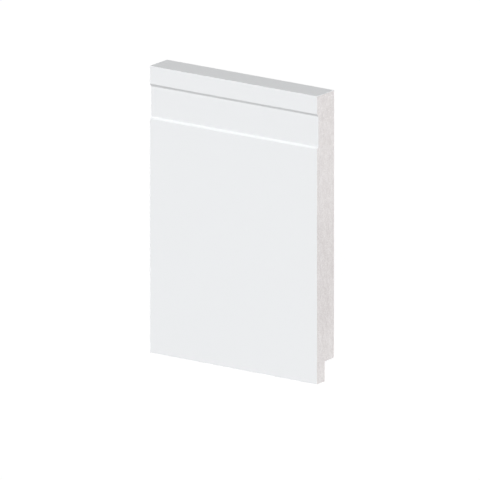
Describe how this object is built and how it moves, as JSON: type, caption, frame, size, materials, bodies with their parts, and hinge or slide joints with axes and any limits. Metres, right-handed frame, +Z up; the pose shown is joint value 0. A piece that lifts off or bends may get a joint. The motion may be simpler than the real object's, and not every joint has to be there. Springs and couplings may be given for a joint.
{
  "type": "skirting board",
  "caption": "Short length of white-coated fibreboard skirting, with a shallow sunk band near the top of its front and a rebate along its lower back.",
  "frame": {"origin": "on the floor, midway along the length and midway through the thickness", "axes": "+X along the wall, +Y into the wall, +Z up; the moulded front faces -Y"},
  "size_m": [0.103, 0.015, 0.15],
  "materials": {
    "coated_fibreboard": "satin"
  },
  "bodies": {
    "root": {"skirting_board": "coated_fibreboard"}
  },
  "joints": []
}
